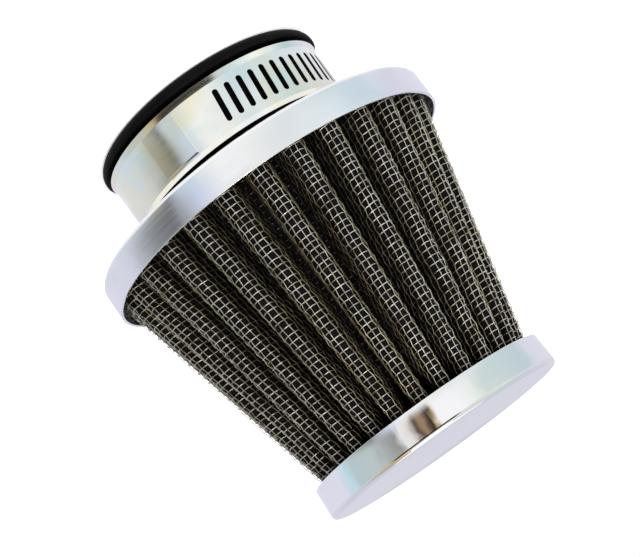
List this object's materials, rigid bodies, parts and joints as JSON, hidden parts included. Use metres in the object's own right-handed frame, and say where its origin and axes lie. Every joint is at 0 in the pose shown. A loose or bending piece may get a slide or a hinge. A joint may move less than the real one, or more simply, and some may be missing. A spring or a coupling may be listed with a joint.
{
  "type": "clamp-on pod air filter",
  "caption": "Conical pod air filter with pleated wire-mesh cone, bright steel end caps, rubber inlet collar and a worm-drive band clamp.",
  "frame": {"origin": "centre of the inlet mouth, on the rubber lip's outer face, which is the lowest plane of the object", "axes": "+Z along the filter's axis from the inlet mouth to the closed end; -Y is the side where the slotted clamp band is in plain view"},
  "size_m": [0.091, 0.091, 0.0998],
  "materials": {
    "rubber_collar": "matt moulded nitrile rubber",
    "plated_cap": "bright plated pressed steel with fine turning marks",
    "zinc_band": "zinc plated with a pale iridescent passivation",
    "zinc_screw": "zinc plated steel",
    "mesh_wire": "drawn galvanised wire",
    "black_media": "black non-woven filter cloth",
    "potting": "cast adhesive",
    "plain_steel": "plain sheet steel"
  },
  "bodies": {
    "filter": {"inlet_collar": "rubber_collar", "collar_retaining_ring": "plain_steel", "top_end_cap": "plated_cap", "top_potting_ring": "potting", "outer_wire_mesh": "mesh_wire", "filter_media": "black_media", "inner_wire_mesh": "mesh_wire", "pleat_seam_clip": "plain_steel", "bottom_potting_disc": "potting", "bottom_end_cap": "plated_cap"},
    "clamp": {"clamp_strap": "zinc_band", "clamp_saddle": "zinc_band", "clamp_housing": "zinc_band"},
    "band": {"clamp_slotted_band": "zinc_band"},
    "screw": {"worm_screw": "zinc_screw"}
  },
  "joints": [
    {"name": "clamp_turn", "type": "hinge", "parent": "filter", "child": "clamp", "pos_m": [0, 0, 0.01155], "axis": [0, 0, 1], "continuous": true},
    {"name": "worm_turn", "type": "hinge", "parent": "clamp", "child": "screw", "pos_m": [-0.01614, 0.02879, 0.01155], "axis": [-0.8723, -0.489, 0], "range_deg": [-1800, 360]},
    {"name": "band_feed", "type": "hinge", "parent": "clamp", "child": "band", "pos_m": [0, 0, 0.01155], "axis": [0, 0, 1], "range_deg": [-6.26, 31.3]}
  ],
  "couplings": [
    {"joint": "worm_turn", "follows": "band_feed", "ratio": -57.489}
  ]
}
